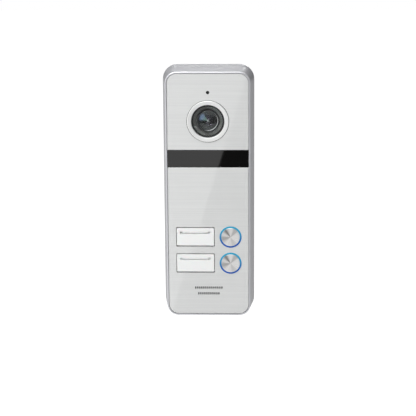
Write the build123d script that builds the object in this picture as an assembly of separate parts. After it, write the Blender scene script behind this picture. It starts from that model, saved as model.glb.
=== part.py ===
"""Outdoor call station of a two-flat video intercom, as an assembly of separate pieces.

Units are millimetres. X runs to the visitor's right, Z up, and the wall is the plane Y = 0.
Heights in this file are distances from the wall towards the visitor, so a height of 23 is at
Y = -23. The origin is on the wall face, at the middle of the housing.
"""
from build123d import *
import math
import os

# ---- driving dimensions ----------------------------------------------------------------------
# An outline is a width, a length and a corner radius.
HOUSING = (68.0, 190.6, 11.2)  # at the back edge, where the drafted sides are widest
DRAFT_ANGLE = 7.0
BACK_EDGE = 1.0                # the housing's back edge stands on a foam gasket
RIM_FACE = 23.0
RIM_ROUNDING = 0.7
WALL = 2.2                     # housing wall thickness
RECESS_FLOOR = 21.0            # floor of the recess that holds the face plates
FRONT_WALL_BACK = 18.8         # inner face of the housing's front wall

PLATE = (59.7, 182.3, 7.1)     # the two plates and the strip between them, together
PLATE_WIDTH, PLATE_LENGTH, PLATE_CORNER = PLATE
PLATE_FACE = 22.8
PLATE_BACK = 21.3
PLATE_GAP = 0.3                # between a plate's edge and the wall of the recess

STRIP_TOP = 34.65              # night vision window
STRIP_BOTTOM = 21.55
JOINT_GAP = 0.1
NIGHT_Z = (STRIP_TOP + STRIP_BOTTOM) / 2
NIGHT_OPENING = (48.0, 8.0, 2.0)         # in the housing, behind the night vision window

LENS_Z = 56.0
BEZEL_RADIUS = 15.3
BEZEL_INNER = 12.25
BEZEL_FACE = 23.5
BEZEL_GAP = 0.35               # between the bezel and the edge of the plate's hole
SLEEVE_RADIUS = 13.65          # bezel's sleeve, which passes through the housing
SLEEVE_BORE = 12.95
SLEEVE_BACK = 18.2
WINDOW_FRONT = 21.65
WINDOW_BACK = 20.5
SHROUD_BACK = 17.0
LENS_THREAD = 6.0              # radius of the barrel's thread
LENS_TUBE_END = 12.2           # back end of the barrel
HOLDER_FRONT = 16.0
HOLDER_STEP = 13.2             # front of the holder's square foot
FILTER_SEAT = 11.6
GLASS_RADIUS = 6.95            # front element of the lens
GLASS_CROWN = 20.2
MICROPHONE_Z = 77.4
MICROPHONE_HOLE = 1.25
CAPSULE_RADIUS = 3.0
CAPSULE_BACK = 15.1
CAPSULE_FRONT = 17.7

BUTTON_X = 16.45
ROW_Z = (-31.5, -51.75)        # the two rows of name plate and call button
CAP_RADIUS = 6.9
CAP_BORE = 6.1
CAP_BACK = 19.6
HALO_INNER = 6.98              # a running fit round the cap
HALO_OUTER = 8.15
HALO_FACE = 23.1
HALO_FLANGE = 18.8             # front of the flange behind the housing's wall
HALO_BACK = 17.6
PLUNGER_FLANGE = (16.7, 17.55)           # back and front of the plunger's flange
PILL_FRONT = 15.12
CAP_FACE = 23.5
PLUNGER_FACE = 22.7
BUTTON_TRAVEL = 1.2

NAME_X = -9.8
NAME_WIDTH = 27.9
NAME_HEIGHT = 13.5
NAME_WINDOW = (28.7, 15.0)     # opening round the cover, in the plate and in the housing's wall
NAME_SKIRT = 1.0
NAME_FACE = 22.6
NAME_FRONT_WALL = 2.1
NAME_BACK = 16.15
CARD_THICKNESS = 0.3

SPEAKER_Z = -73.15
SPEAKER_RADIUS = 13.0
SPEAKER_FRONT = 17.7
GASKET_FRONT = 18.5            # the speaker's gasket is pressed against its mesh here
GRILLE_OPENING = (22.0, 8.4, 1.0)        # in the housing, behind the slots
SLOT_PITCH = 1.51
SLOT_WIDTH = 0.9
SLOT_HEIGHT = 2.0
SLOT_ROWS = ((-70.9, 14), (-75.4, 11))   # row height and number of slots

MAIN_BOARD_FRONT = 13.5
MAIN_BOARD_BACK = 11.9
CAMERA_BOARD_FRONT = 10.6
CAMERA_BOARD_BACK = 9.5
NIGHT_BOARD_FRONT = 13.2
NIGHT_BOARD_BACK = 12.0

COVER = (61.2, 183.8, 7.8)     # rear cover
COVER_INNER = 8.0
COVER_OUTER = 6.0
SEAL_THICKNESS = 0.8
SEAL_FRONT = COVER_INNER + SEAL_THICKNESS
LEDGE_DEPTH = 2.5              # ledge in the housing that the seal bears on

BRACKET_WIDTH = 48.0
BRACKET_TOP = 74.0
BRACKET_BOTTOM = -86.0
BRACKET_THICKNESS = 1.5
BRACKET_HOLE_RADIUS = 2.2
BRACKET_HOLES = [(x, z) for x in (-17.0, 17.0) for z in (-56.0, 44.0)]
CABLE_OPENING = (38.0, 30.0, -22.0)      # width, height and middle of the bracket's opening

LIP_HEIGHT = 5.8               # bracket's lower lip, and the housing's pad below it

SOCKET_XZ = (-5.0, -22.0)
SOCKET_BACK = 4.2
SOCKET_FLOOR = 10.4
PIN_PITCH = 2.5
PIN_HALF = 0.32
PIN_ENDS = (8.6, 14.3)
TRIMMER_XZ = (13.0, -22.0)
TRIMMER_BACK = 8.7
TRIMMER_FLOOR = 9.75           # floor of the pocket that the rotor turns in
ROTOR_BACK = 8.5
HOOK_X = 13.0
SECURITY_SCREW_HEIGHT = 4.0

COVER_SCREWS = [(x, z) for x in (-26.5, 26.5) for z in (-84.0, 8.0, 84.0)]
CAMERA_SCREWS = [(x, LENS_Z + z) for x in (-15.5, 15.5) for z in (-15.5, 15.5)]
NIGHT_SCREWS = [(x, NIGHT_Z) for x in (-25.5, 25.5)]
MAIN_SCREWS = [(-22.0, -3.0), (22.0, -3.0), (NAME_X, -41.6)]
SPEAKER_SCREWS = [(x, SPEAKER_Z) for x in (-17.5, 17.5)]
CLAMP_BACK = 10.2
CLAMP_FRONT = CLAMP_BACK + 1.0

SCREW_CORE = 0.85              # internal screws
SCREW_PILOT = 0.9
SCREW_CLEARANCE = 1.1          # hole in a board or in the clamp
# Where each set of screws goes in: places, seat of the post, radius of the post, radius of its
# pilot hole, and the pilot's end.
FIXINGS = (
    (COVER_SCREWS, COVER_INNER, 2.8, 1.2, 16.5),
    (CAMERA_SCREWS, CAMERA_BOARD_FRONT, 2.3, SCREW_PILOT, 16.0),
    (NIGHT_SCREWS, NIGHT_BOARD_FRONT, 2.0, SCREW_PILOT, 18.0),
    (MAIN_SCREWS, MAIN_BOARD_FRONT, 1.9, SCREW_PILOT, 18.0),
    (SPEAKER_SCREWS, CLAMP_FRONT, 2.2, SCREW_PILOT, 16.0),
)
NIGHT_LED_X = (-20.0, -13.0, -6.0, 6.0, 13.0, 20.0)
NIGHT_LED_RADIUS = 2.45
NIGHT_LED_FRONT = 18.2         # where the lamp's dome starts


# ---- building blocks -------------------------------------------------------------------------
def prism(sketch, low, high):
    """A sketch in X and Z, carried from one height above the wall to another."""
    return extrude(Plane.XZ.offset(low) * sketch, high - low)


def rounded(width, length, corner, x=0.0, z=0.0):
    return Pos(x, z) * RectangleRounded(width, length, corner)


def inset(outline, distance):
    """An outline drawn in by this distance all round, or let out if it is negative."""
    width, length, corner = outline
    return width - 2 * distance, length - 2 * distance, corner - distance


def rounded_frame(outside, inside, low, high):
    """A flat frame between two outlines."""
    return prism(rounded(*outside) - rounded(*inside), low, high)


def holes(places, radius, low, high):
    return [rod(radius, low, high, x, z) for x, z in places]


def block(width, length, low, high, x=0.0, z=0.0):
    return prism(Pos(x, z) * Rectangle(width, length), low, high)


def rod(radius, low, high, x=0.0, z=0.0):
    return prism(Pos(x, z) * Circle(radius), low, high)


def tube(outer, inner, low, high, x=0.0, z=0.0):
    return prism(Pos(x, z) * (Circle(outer) - Circle(inner)), low, high)


def turned(profile, x=0.0, z=0.0):
    """A solid of revolution about an axis square to the wall, from (radius, height) points."""
    outline = Polyline(*[(radius, -height) for radius, height in profile], close=True)
    return Pos(x, 0, z) * revolve(make_face(outline), Axis.Y)


def front_edges(shape, height):
    """Edges that lie wholly in the plane at this height above the wall."""
    return [e for e in shape.edges() if all(abs(v.Y + height) < 1e-4 for v in e.vertices())]


def screw(x, z, head_low, head_high, tip, head_radius, core):
    """A pan-head screw whose head faces the wall, with a cross recess."""
    blade, recess_width, recess_end = head_radius * 1.1, 0.4, head_low + 0.5
    head = rod(head_radius, head_low, head_high, x, z)
    head = chamfer(front_edges(head, head_low), 0.35 * (head_high - head_low))
    recess = block(blade, recess_width, head_low, recess_end, x, z)
    recess = recess + block(recess_width, blade, head_low, recess_end, x, z)
    return head + rod(core, head_high, tip, x, z) - recess


# ---- housing and face ------------------------------------------------------------------------
def front_housing():
    body = extrude(Plane.XZ.offset(BACK_EDGE) * rounded(*HOUSING), RIM_FACE - BACK_EDGE, taper=DRAFT_ANGLE)
    body = fillet(front_edges(body, RIM_FACE), RIM_ROUNDING)
    inner_outline = Plane.XZ.offset(BACK_EDGE) * rounded(*inset(HOUSING, WALL))
    body -= extrude(inner_outline, FRONT_WALL_BACK - BACK_EDGE, taper=DRAFT_ANGLE)
    body -= prism(rounded(*inset(PLATE, -PLATE_GAP)), RECESS_FLOOR, RIM_FACE)
    body += rounded_frame(inset(COVER, -0.5), inset(COVER, 1.4), SEAL_FRONT, SEAL_FRONT + LEDGE_DEPTH)
    body += block(12.0, 3.0, BACK_EDGE, LIP_HEIGHT, 0.0, -92.4)

    for places, seat, post_radius, pilot_radius, pilot_end in FIXINGS:
        body += holes(places, post_radius, seat, FRONT_WALL_BACK)
    for places, seat, post_radius, pilot_radius, pilot_end in FIXINGS:
        body -= holes(places, pilot_radius, seat, pilot_end)

    openings = [rod(SLEEVE_RADIUS + 0.15, FRONT_WALL_BACK, RECESS_FLOOR, 0, LENS_Z)]
    openings += [rod(MICROPHONE_HOLE + 0.05, FRONT_WALL_BACK, RECESS_FLOOR, 0, MICROPHONE_Z)]
    openings += [prism(rounded(*NIGHT_OPENING, 0, NIGHT_Z), FRONT_WALL_BACK, RECESS_FLOOR)]
    openings += [prism(rounded(*GRILLE_OPENING, 0, SPEAKER_Z), FRONT_WALL_BACK, RECESS_FLOOR)]
    for z in ROW_Z:
        openings.append(rod(HALO_OUTER + 0.1, FRONT_WALL_BACK, RECESS_FLOOR, BUTTON_X, z))
        openings.append(block(*NAME_WINDOW, FRONT_WALL_BACK, RECESS_FLOOR, NAME_X, z))
    body -= openings

    shank_hole = Pos(0, 0, -92.5) * Cylinder(1.45, 8.0)
    head_pocket = Pos(0, 0, -95.3) * Cylinder(2.75, 3.8)
    return body - [Pos(0, -SECURITY_SCREW_HEIGHT, 0) * hole for hole in (shank_hole, head_pocket)]


def plate_blank(low, high, length_low, length_high, margin=0.0):
    """The part of the rounded face outline between two levels, as a prism."""
    band = Pos(0, (length_low + length_high) / 2) * Rectangle(PLATE_WIDTH, length_high - length_low)
    return prism(rounded(*inset(PLATE, margin)) & band, low, high)


def upper_face_plate():
    plate = plate_blank(PLATE_BACK, PLATE_FACE, STRIP_TOP + JOINT_GAP, PLATE_LENGTH / 2)
    plate = chamfer(front_edges(plate, PLATE_FACE), 0.15)
    plate -= rod(BEZEL_RADIUS + BEZEL_GAP, PLATE_BACK, PLATE_FACE, 0, LENS_Z)
    return plate - rod(MICROPHONE_HOLE, PLATE_BACK, PLATE_FACE, 0, MICROPHONE_Z)


def grille_slots(low, high):
    slots = []
    for z, count in SLOT_ROWS:
        for index in range(count):
            x = (index - (count - 1) / 2) * SLOT_PITCH
            slots.append(prism(rounded(SLOT_WIDTH, SLOT_HEIGHT, 0.4, x, z), low, high))
    return slots


def lower_face_plate():
    plate = plate_blank(PLATE_BACK, PLATE_FACE, -PLATE_LENGTH / 2, STRIP_BOTTOM - JOINT_GAP)
    plate = chamfer(front_edges(plate, PLATE_FACE), 0.15)
    for z in ROW_Z:
        plate -= rod(HALO_OUTER + 0.1, PLATE_BACK, PLATE_FACE, BUTTON_X, z)
        plate -= prism(rounded(*NAME_WINDOW, 0.7, NAME_X, z), PLATE_BACK, PLATE_FACE)
    return plate - grille_slots(PLATE_BACK, PLATE_FACE)


def face_plate_tape():
    """Double-sided tape frames that hold the two plates and the strip in the recess."""
    levels, margin = (RECESS_FLOOR, PLATE_BACK), 1.0
    upper = plate_blank(*levels, STRIP_TOP + margin, PLATE_LENGTH / 2, margin)
    upper -= rod(BEZEL_RADIUS + 1.2, *levels, 0, LENS_Z)
    upper -= rod(2 * MICROPHONE_HOLE, *levels, 0, MICROPHONE_Z)
    lower = plate_blank(*levels, -PLATE_LENGTH / 2, STRIP_BOTTOM - margin, margin)
    for z in ROW_Z:
        lower -= rod(HALO_OUTER + margin, *levels, BUTTON_X, z)
        lower -= block(NAME_WINDOW[0] + 0.8, NAME_WINDOW[1] + 0.8, *levels, NAME_X, z)
    lower -= block(GRILLE_OPENING[0] + margin, GRILLE_OPENING[1] + margin, *levels, 0, SPEAKER_Z)
    strip = block(PLATE_WIDTH - 2 * margin, 12.0, *levels, 0, NIGHT_Z)
    strip -= block(NIGHT_OPENING[0] + 1.5, NIGHT_OPENING[1] + 1.2, *levels, 0, NIGHT_Z)
    return Compound([upper, lower, strip])


def night_vision_window():
    strip = block(PLATE_WIDTH, STRIP_TOP - STRIP_BOTTOM, PLATE_BACK, PLATE_FACE, 0, NIGHT_Z)
    return chamfer(front_edges(strip, PLATE_FACE), 0.12)


# ---- camera ----------------------------------------------------------------------------------
def camera_bezel_ring():
    """Ring that frames the window, with a sleeve behind it that passes through the housing."""
    window_seat = WINDOW_FRONT + 0.05
    profile = [
        (BEZEL_RADIUS, RECESS_FLOOR), (BEZEL_RADIUS, BEZEL_FACE - 0.3), (BEZEL_RADIUS - 0.3, BEZEL_FACE),
        (BEZEL_RADIUS - 0.7, BEZEL_FACE), (BEZEL_INNER + 0.3, BEZEL_FACE - 0.25),
        (BEZEL_INNER, BEZEL_FACE - 0.55), (BEZEL_INNER, window_seat), (SLEEVE_BORE, window_seat),
        (SLEEVE_BORE, SLEEVE_BACK), (SLEEVE_RADIUS, SLEEVE_BACK), (SLEEVE_RADIUS, RECESS_FLOOR),
    ]
    return turned(profile, 0, LENS_Z)


def camera_bezel_seal():
    """Thin rubber ring in the gap between the bezel and the plate."""
    clear = 0.03
    outer, inner = BEZEL_RADIUS + BEZEL_GAP - clear, BEZEL_RADIUS + clear
    return tube(outer, inner, RECESS_FLOOR, PLATE_FACE - 0.3, 0, LENS_Z)


def camera_window():
    return rod(SLEEVE_BORE - 0.1, WINDOW_BACK, WINDOW_FRONT, 0, LENS_Z)


def camera_window_seal():
    """Rubber cord ring behind the window's edge."""
    section = 0.48
    return Pos(0, section - WINDOW_BACK + 0.02, LENS_Z) * Rot(90, 0, 0) * Torus(12.35, section)


def lens_shroud():
    """Stepped matt collar between the window and the lens head, which stops stray light."""
    bore, neck, outside = 8.75, 11.7, SLEEVE_BORE - 0.1
    shoulder, top, mouth = 19.45, 20.3, 11.25
    steps, step_width, step_height = 5, 0.5, 0.38
    profile = [(bore, SHROUD_BACK), (outside, SHROUD_BACK), (outside, shoulder), (neck, shoulder)]
    profile += [(neck, top), (mouth, top)]
    for step in range(steps):
        radius, height = mouth - step * step_width, top - (step + 1) * step_height
        profile += [(radius, height), (radius - step_width, height)]
    return turned(profile, 0, LENS_Z)


def lens_barrel():
    """Lens body: a thread, and a head whose bevelled lip holds the front element."""
    lip, seat, head_back, head_radius, bore = 19.6, 17.9, 17.2, 8.5, 4.2
    head = rod(head_radius, head_back, lip, 0, LENS_Z)
    head -= rod(GLASS_RADIUS + 0.05, seat, lip, 0, LENS_Z)
    head = chamfer(front_edges(head, lip), 0.5)
    barrel = head + rod(LENS_THREAD, LENS_TUBE_END, head_back, 0, LENS_Z)
    return barrel - rod(bore, LENS_TUBE_END, seat, 0, LENS_Z)


def lens_front_glass():
    """Strongly curved front element of the wide-angle lens."""
    curvature = 19.2
    ball = Pos(0, curvature - GLASS_CROWN, LENS_Z) * Sphere(curvature)
    return rod(GLASS_RADIUS, 18.0, GLASS_CROWN + 0.1, 0, LENS_Z) & ball


def lens_lock_ring():
    """Threaded ring that locks the barrel at its focus, with eight notches for a key."""
    levels, radius = (HOLDER_FRONT + 0.15, 17.1), 7.5
    ring = tube(radius, LENS_THREAD + 0.05, *levels, 0, LENS_Z)
    notch = block(1.2, 3.0, *levels, 0, radius + 0.1)
    return ring - [Pos(0, 0, LENS_Z) * Rot(0, turn * 45, 0) * notch for turn in range(8)]


def lens_holder():
    thread_end = LENS_TUBE_END - 0.2
    body = prism(rounded(17.0, 17.0, 1.5, 0, LENS_Z), CAMERA_BOARD_FRONT, HOLDER_STEP)
    body += rod(8.0, HOLDER_STEP, HOLDER_FRONT, 0, LENS_Z)
    body -= block(12.0, 12.0, CAMERA_BOARD_FRONT, FILTER_SEAT, 0, LENS_Z)
    body -= rod(4.6, FILTER_SEAT, thread_end, 0, LENS_Z)
    return body - rod(LENS_THREAD + 0.05, thread_end, HOLDER_FRONT, 0, LENS_Z)


def ir_cut_filter():
    return rod(4.55, FILTER_SEAT + 0.05, FILTER_SEAT + 0.35, 0, LENS_Z)


def image_sensor():
    return block(9.0, 9.0, CAMERA_BOARD_FRONT, FILTER_SEAT - 0.1, 0, LENS_Z)


def camera_board():
    board = prism(rounded(36.0, 36.0, 2.0, 0, LENS_Z), CAMERA_BOARD_BACK, CAMERA_BOARD_FRONT)
    return board - holes(CAMERA_SCREWS, SCREW_CLEARANCE, CAMERA_BOARD_BACK, CAMERA_BOARD_FRONT)


def internal_screws():
    """Small screws of the boards and of the speaker clamp, all of one kind."""
    seats = [(CAMERA_BOARD_BACK, CAMERA_SCREWS), (NIGHT_BOARD_BACK, NIGHT_SCREWS)]
    seats += [(MAIN_BOARD_BACK, MAIN_SCREWS), (CLAMP_BACK, SPEAKER_SCREWS)]
    head_height, shank, head_radius = 1.1, 5.5, 1.8
    screws = []
    for seat, places in seats:
        for x, z in places:
            screws.append(screw(x, z, seat - head_height, seat, seat + shank, head_radius, SCREW_CORE))
    return Compound(screws)


# ---- night vision ----------------------------------------------------------------------------
def night_vision_leds():
    """Round lamps, each with a collar at its foot and a domed end."""
    radius, front, collar = NIGHT_LED_RADIUS, NIGHT_LED_FRONT, NIGHT_BOARD_FRONT + 1.0
    leds = []
    for x in NIGHT_LED_X:
        led = rod(radius, collar, front, x, NIGHT_Z)
        led += rod(radius + 0.4, NIGHT_BOARD_FRONT, collar, x, NIGHT_Z)
        half_space = block(3 * radius, 3 * radius, front, front + radius + 0.05, x, NIGHT_Z)
        leds.append(led + (Pos(x, -front, NIGHT_Z) * Sphere(radius) & half_space))
    return Compound(leds)


def light_sensor():
    """Light-dependent resistor, with its zigzag track as four raised bars."""
    front, track_width, track_pitch = 15.2, 0.35, 0.8
    body = rod(2.5, NIGHT_BOARD_FRONT, front, 0, NIGHT_Z)
    levels = [NIGHT_Z + (bar - 1.5) * track_pitch for bar in range(4)]
    return body + [block(3.2, track_width, front, front + 0.1, 0, z) for z in levels]


def night_vision_board():
    board = block(56.0, 12.4, NIGHT_BOARD_BACK, NIGHT_BOARD_FRONT, 0, NIGHT_Z)
    return board - holes(NIGHT_SCREWS, SCREW_CLEARANCE, NIGHT_BOARD_BACK, NIGHT_BOARD_FRONT)


# ---- sound -----------------------------------------------------------------------------------
def microphone_boot():
    """Rubber cup round the capsule, with a nose that carries sound in from the face."""
    back, floor, nose_end = CAPSULE_BACK - 0.2, CAPSULE_FRONT + 0.1, PLATE_FACE - 0.4
    boot = rod(4.3, back, FRONT_WALL_BACK, 0, MICROPHONE_Z)
    boot += rod(MICROPHONE_HOLE - 0.05, FRONT_WALL_BACK, nose_end, 0, MICROPHONE_Z)
    boot -= rod(CAPSULE_RADIUS + 0.05, back, floor, 0, MICROPHONE_Z)
    return boot - rod(0.6, floor, nose_end, 0, MICROPHONE_Z)


def microphone_capsule():
    capsule = rod(CAPSULE_RADIUS, CAPSULE_BACK, CAPSULE_FRONT, 0, MICROPHONE_Z)
    return capsule - rod(0.8, CAPSULE_FRONT - 0.4, CAPSULE_FRONT, 0, MICROPHONE_Z)


def speaker_mesh():
    return rod(SPEAKER_RADIUS - 0.4, GASKET_FRONT, FRONT_WALL_BACK, 0, SPEAKER_Z)


def speaker_gasket():
    return tube(SPEAKER_RADIUS, 11.2, SPEAKER_FRONT, GASKET_FRONT, 0, SPEAKER_Z)


def speaker_basket():
    """Pressed steel dish that carries the cone by its rim and the magnet by its foot."""
    profile = [
        (11.2, SPEAKER_FRONT), (SPEAKER_RADIUS, SPEAKER_FRONT), (SPEAKER_RADIUS, 16.7), (12.0, 16.5),
        (8.6, 14.0), (6.8, 13.6), (6.8, 14.3), (8.2, 14.7), (11.2, 16.9),
    ]
    return turned(profile, 0, SPEAKER_Z)


def speaker_cone():
    """Paper cone with a rolled edge and a dust cap."""
    profile = [
        (11.15, 17.6), (11.15, 17.3), (9.6, 17.4), (4.2, 15.2), (0, 16.6),
        (0, 16.9), (4.3, 15.6), (9.5, 17.65), (10.4, 17.65),
    ]
    return turned(profile, 0, SPEAKER_Z)


def speaker_magnet():
    magnet = rod(6.75, CLAMP_FRONT, 14.3, 0, SPEAKER_Z)
    return chamfer(front_edges(magnet, CLAMP_FRONT), 0.4)


def speaker_clamp():
    """Sprung steel bar across the magnet, screwed to two posts."""
    clamp = prism(rounded(41.0, 6.0, 2.9, 0, SPEAKER_Z), CLAMP_BACK, CLAMP_FRONT)
    return clamp - holes(SPEAKER_SCREWS, SCREW_CLEARANCE, CLAMP_BACK, CLAMP_FRONT)


# ---- call buttons ----------------------------------------------------------------------------
def button_cap(z):
    cap = rod(CAP_RADIUS, CAP_BACK, CAP_FACE, BUTTON_X, z)
    cap = fillet(front_edges(cap, CAP_FACE), 0.3)
    return cap - rod(CAP_BORE, CAP_BACK, PLUNGER_FACE, BUTTON_X, z)


def button_plunger(z):
    """Stem under the cap, a flange that the halo stops, and a nose that meets the pill."""
    flange_back, flange_front = PLUNGER_FLANGE
    plunger = rod(CAP_BORE - 0.05, flange_front, PLUNGER_FACE, BUTTON_X, z)
    plunger += rod(8.2, flange_back, flange_front, BUTTON_X, z)
    return plunger + rod(2.5, PILL_FRONT, flange_back, BUTTON_X, z)


def button_pill(z):
    """Carbon contact that reaches the board at the end of the travel."""
    return rod(2.4, MAIN_BOARD_FRONT + BUTTON_TRAVEL + 0.02, PILL_FRONT, BUTTON_X, z)


def button_halo(z):
    """Light pipe round the cap, with a flange that bears on the housing's front wall."""
    halo = tube(HALO_OUTER, HALO_INNER, HALO_FLANGE, HALO_FACE, BUTTON_X, z)
    halo = chamfer(front_edges(halo, HALO_FACE), 0.2)
    return halo + tube(9.6, HALO_INNER, HALO_BACK, HALO_FLANGE, BUTTON_X, z)


def button_dome(z):
    """Silicone dome: a foot on the board, a sloping web and a collar under the plunger."""
    foot, web_foot = (6.2, 9.0), (6.9, MAIN_BOARD_FRONT + 0.8)
    collar, collar_front = (2.6, 3.7), PLUNGER_FLANGE[0] - 0.05
    profile = [
        (foot[1], MAIN_BOARD_FRONT), (foot[1], web_foot[1]), web_foot, (collar[1], 16.0),
        (collar[1], collar_front), (collar[0], collar_front), (collar[0], 15.7), (3.3, 15.7),
        (foot[0], MAIN_BOARD_FRONT + 0.4), (foot[0], MAIN_BOARD_FRONT),
    ]
    return turned(profile, BUTTON_X, z)


# ---- name plates -----------------------------------------------------------------------------
def nail_groove():
    """A scoop that rolls in from the face, steeper downwards, to a ledge for the finger nail.

    A round pocket ends it on each side. Its section is in (Y, Z), with Y into the wall.
    """
    half_length, depth, top, ledge, clear = 10.5, 1.7, 4.4, 2.2, 0.15
    drop = top - ledge
    roll_angle = 2 * math.atan(depth / drop)
    roll_radius = drop / math.sin(roll_angle)
    face_line = Line((-clear, top), (0, top))
    roll = CenterArc((roll_radius, top), roll_radius, 180, math.degrees(roll_angle))
    floor_line = Polyline((depth, ledge), (-clear, ledge), (-clear, top))
    section = make_face([face_line, roll, floor_line])
    groove = Pos(0, -NAME_FACE, 0) * extrude(Plane.YZ * section, half_length, both=True)
    pocket_radius, pocket_depth = drop / 2, 1.5
    for side in (-1, 1):
        pocket = (side * half_length, ledge + pocket_radius)
        groove += rod(pocket_radius, NAME_FACE - pocket_depth, NAME_FACE + clear, *pocket)
    return groove


def nameplate_cover(z):
    """Frosted cover that pulls out forwards, hollow behind, with a nail groove along its top."""
    cover = prism(rounded(NAME_WIDTH, NAME_HEIGHT, 0.5, NAME_X, z), NAME_BACK, NAME_FACE)
    cover = chamfer(front_edges(cover, NAME_FACE), 0.2)
    inner_width, inner_height = NAME_WIDTH - 2 * NAME_SKIRT, NAME_HEIGHT - 2 * NAME_SKIRT
    hollow = block(inner_width, inner_height, NAME_BACK, NAME_FACE - NAME_FRONT_WALL, NAME_X, z)
    return cover - hollow - Pos(NAME_X, 0, z) * nail_groove()


def name_card(z):
    high = NAME_FACE - NAME_FRONT_WALL
    width, height = NAME_WIDTH - 2 * NAME_SKIRT, NAME_HEIGHT - 2 * NAME_SKIRT
    return block(width, height, high - CARD_THICKNESS, high, NAME_X, z)


def nameplate_light_box(z):
    """White tray that the cover slides into; its floor spreads the backlight."""
    back, floor, clear, wall = 15.0, 16.0, 0.4, (2.4, 2.0)
    inner_width, inner_height = NAME_WIDTH + clear, NAME_HEIGHT + clear
    tray = block(inner_width + wall[0], inner_height + wall[1], back, FRONT_WALL_BACK, NAME_X, z)
    return tray - block(inner_width, inner_height, floor, FRONT_WALL_BACK, NAME_X, z)


# ---- electronics -----------------------------------------------------------------------------
def main_board():
    board = prism(rounded(52.6, 63.0, 1.5, 0, -27.5), MAIN_BOARD_BACK, MAIN_BOARD_FRONT)
    board -= holes(MAIN_SCREWS, SCREW_CLEARANCE, MAIN_BOARD_BACK, MAIN_BOARD_FRONT)
    return board - socket_pin_blocks(PIN_HALF + 0.04)


def backlight_leds():
    """White lamps behind the name plates and blue ones behind the button halos."""
    white, white_height, blue, blue_height, blue_offset = (2.8, 3.5), 0.9, (1.2, 1.2), 0.7, 7.2
    base = MAIN_BOARD_FRONT
    lamps = []
    for z in ROW_Z:
        lamps += [block(*white, base, base + white_height, NAME_X + x, z) for x in (-8.0, 0.0, 8.0)]
        for side_x, side_z in ((-1, -1), (1, -1), (-1, 1), (1, 1)):
            place = (BUTTON_X + side_x * blue_offset, z + side_z * blue_offset)
            lamps.append(block(*blue, base, base + blue_height, *place))
    return Compound(lamps)


def board_chips():
    """Packages on the back of the main board, and the camera's processor."""
    low, high = MAIN_BOARD_BACK - 1.4, MAIN_BOARD_BACK
    chips = [block(9.0, 9.0, low, high, -18.0, -42.0), block(5.0, 6.0, low, high, 3.0, -44.0)]
    chips += [block(4.0, 5.0, low, high, 15.0, -44.0), block(6.5, 6.5, low, high, -16.0, -6.0)]
    chips.append(block(7.0, 7.0, CAMERA_BOARD_BACK - 1.0, CAMERA_BOARD_BACK, 0, LENS_Z))
    return Compound(chips)


def board_capacitors():
    places = ((4.0, -6.0), (10.5, -6.0), (-3.0, -34.0), (22.0, -34.0))
    return Compound([rod(2.5, COVER_INNER + 0.4, MAIN_BOARD_BACK, x, z) for x, z in places])


def volume_trimmer_body():
    x, z = TRIMMER_XZ
    body = block(7.0, 7.0, TRIMMER_BACK, MAIN_BOARD_BACK, x, z)
    body -= rod(2.3, TRIMMER_BACK, TRIMMER_FLOOR, x, z)
    return body - rod(0.86, TRIMMER_FLOOR, 11.2, x, z)


def volume_trimmer_rotor():
    """Disc on a spindle, with a slot for a screwdriver and a short mark across one end of it."""
    x, z = TRIMMER_XZ
    disc_front, slot_floor, slot_width = TRIMMER_FLOOR - 0.1, ROTOR_BACK + 0.5, 0.6
    rotor = rod(2.2, ROTOR_BACK, disc_front, x, z) + rod(0.8, disc_front, 11.1, x, z)
    slot = block(3.4, slot_width, ROTOR_BACK, slot_floor, x, z)
    slot += block(slot_width, 2.0, ROTOR_BACK, slot_floor, x, z + 0.7)
    return rotor - slot


def cable_socket():
    """Four-way header with a key slot in its upper wall."""
    x, z = SOCKET_XZ
    outside, inside, key = (13.0, 7.6), (10.6, 5.2), (4.0, 1.3)
    body = block(*outside, SOCKET_BACK, MAIN_BOARD_BACK, x, z)
    body -= block(*inside, SOCKET_BACK, SOCKET_FLOOR, x, z)
    body -= block(*key, SOCKET_BACK, 7.5, x, z + (outside[1] + inside[1]) / 4)
    return body - socket_pin_blocks(PIN_HALF + 0.01)


def socket_pin_blocks(half):
    """Four square pins, each of this half width."""
    x, z = SOCKET_XZ
    places = [x + (index - 1.5) * PIN_PITCH for index in range(4)]
    return [block(2 * half, 2 * half, *PIN_ENDS, place, z) for place in places]


def cable_socket_pins():
    return Compound(socket_pin_blocks(PIN_HALF))


# ---- back ------------------------------------------------------------------------------------
def rear_cover():
    """Flat cover with four stiffening ribs and two loops that hang on the bracket's hooks."""
    cover = prism(rounded(*COVER), COVER_OUTER, COVER_INNER)
    for side in (-1, 1):
        loop = block(14.0, 10.0, 2.2, COVER_OUTER, side * HOOK_X, 63.0)
        cover += loop - block(8.8, 8.6, 3.1, 4.9, side * HOOK_X, 62.3)
    cover += [block(50.0, 1.2, COVER_OUTER - 1.2, COVER_OUTER, 0, z) for z in (40.0, 22.0, -48.0, -66.0)]
    cover -= holes(COVER_SCREWS, 1.5, COVER_OUTER, COVER_INNER)
    cover -= block(13.4, 8.0, COVER_OUTER, COVER_INNER, *SOCKET_XZ)
    return cover - rod(2.6, COVER_OUTER, COVER_INNER, *TRIMMER_XZ)


def rear_cover_seal():
    seal = rounded_frame(inset(COVER, 0.2), inset(COVER, 1.2), COVER_INNER, SEAL_FRONT)
    return seal - holes(COVER_SCREWS, 2.85, COVER_INNER, SEAL_FRONT)


def rear_cover_screws():
    head_back, tip, head_radius, core = 4.5, 15.5, 2.5, 1.15
    screws = [screw(x, z, head_back, COVER_OUTER, tip, head_radius, core) for x, z in COVER_SCREWS]
    return Compound(screws)


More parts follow.
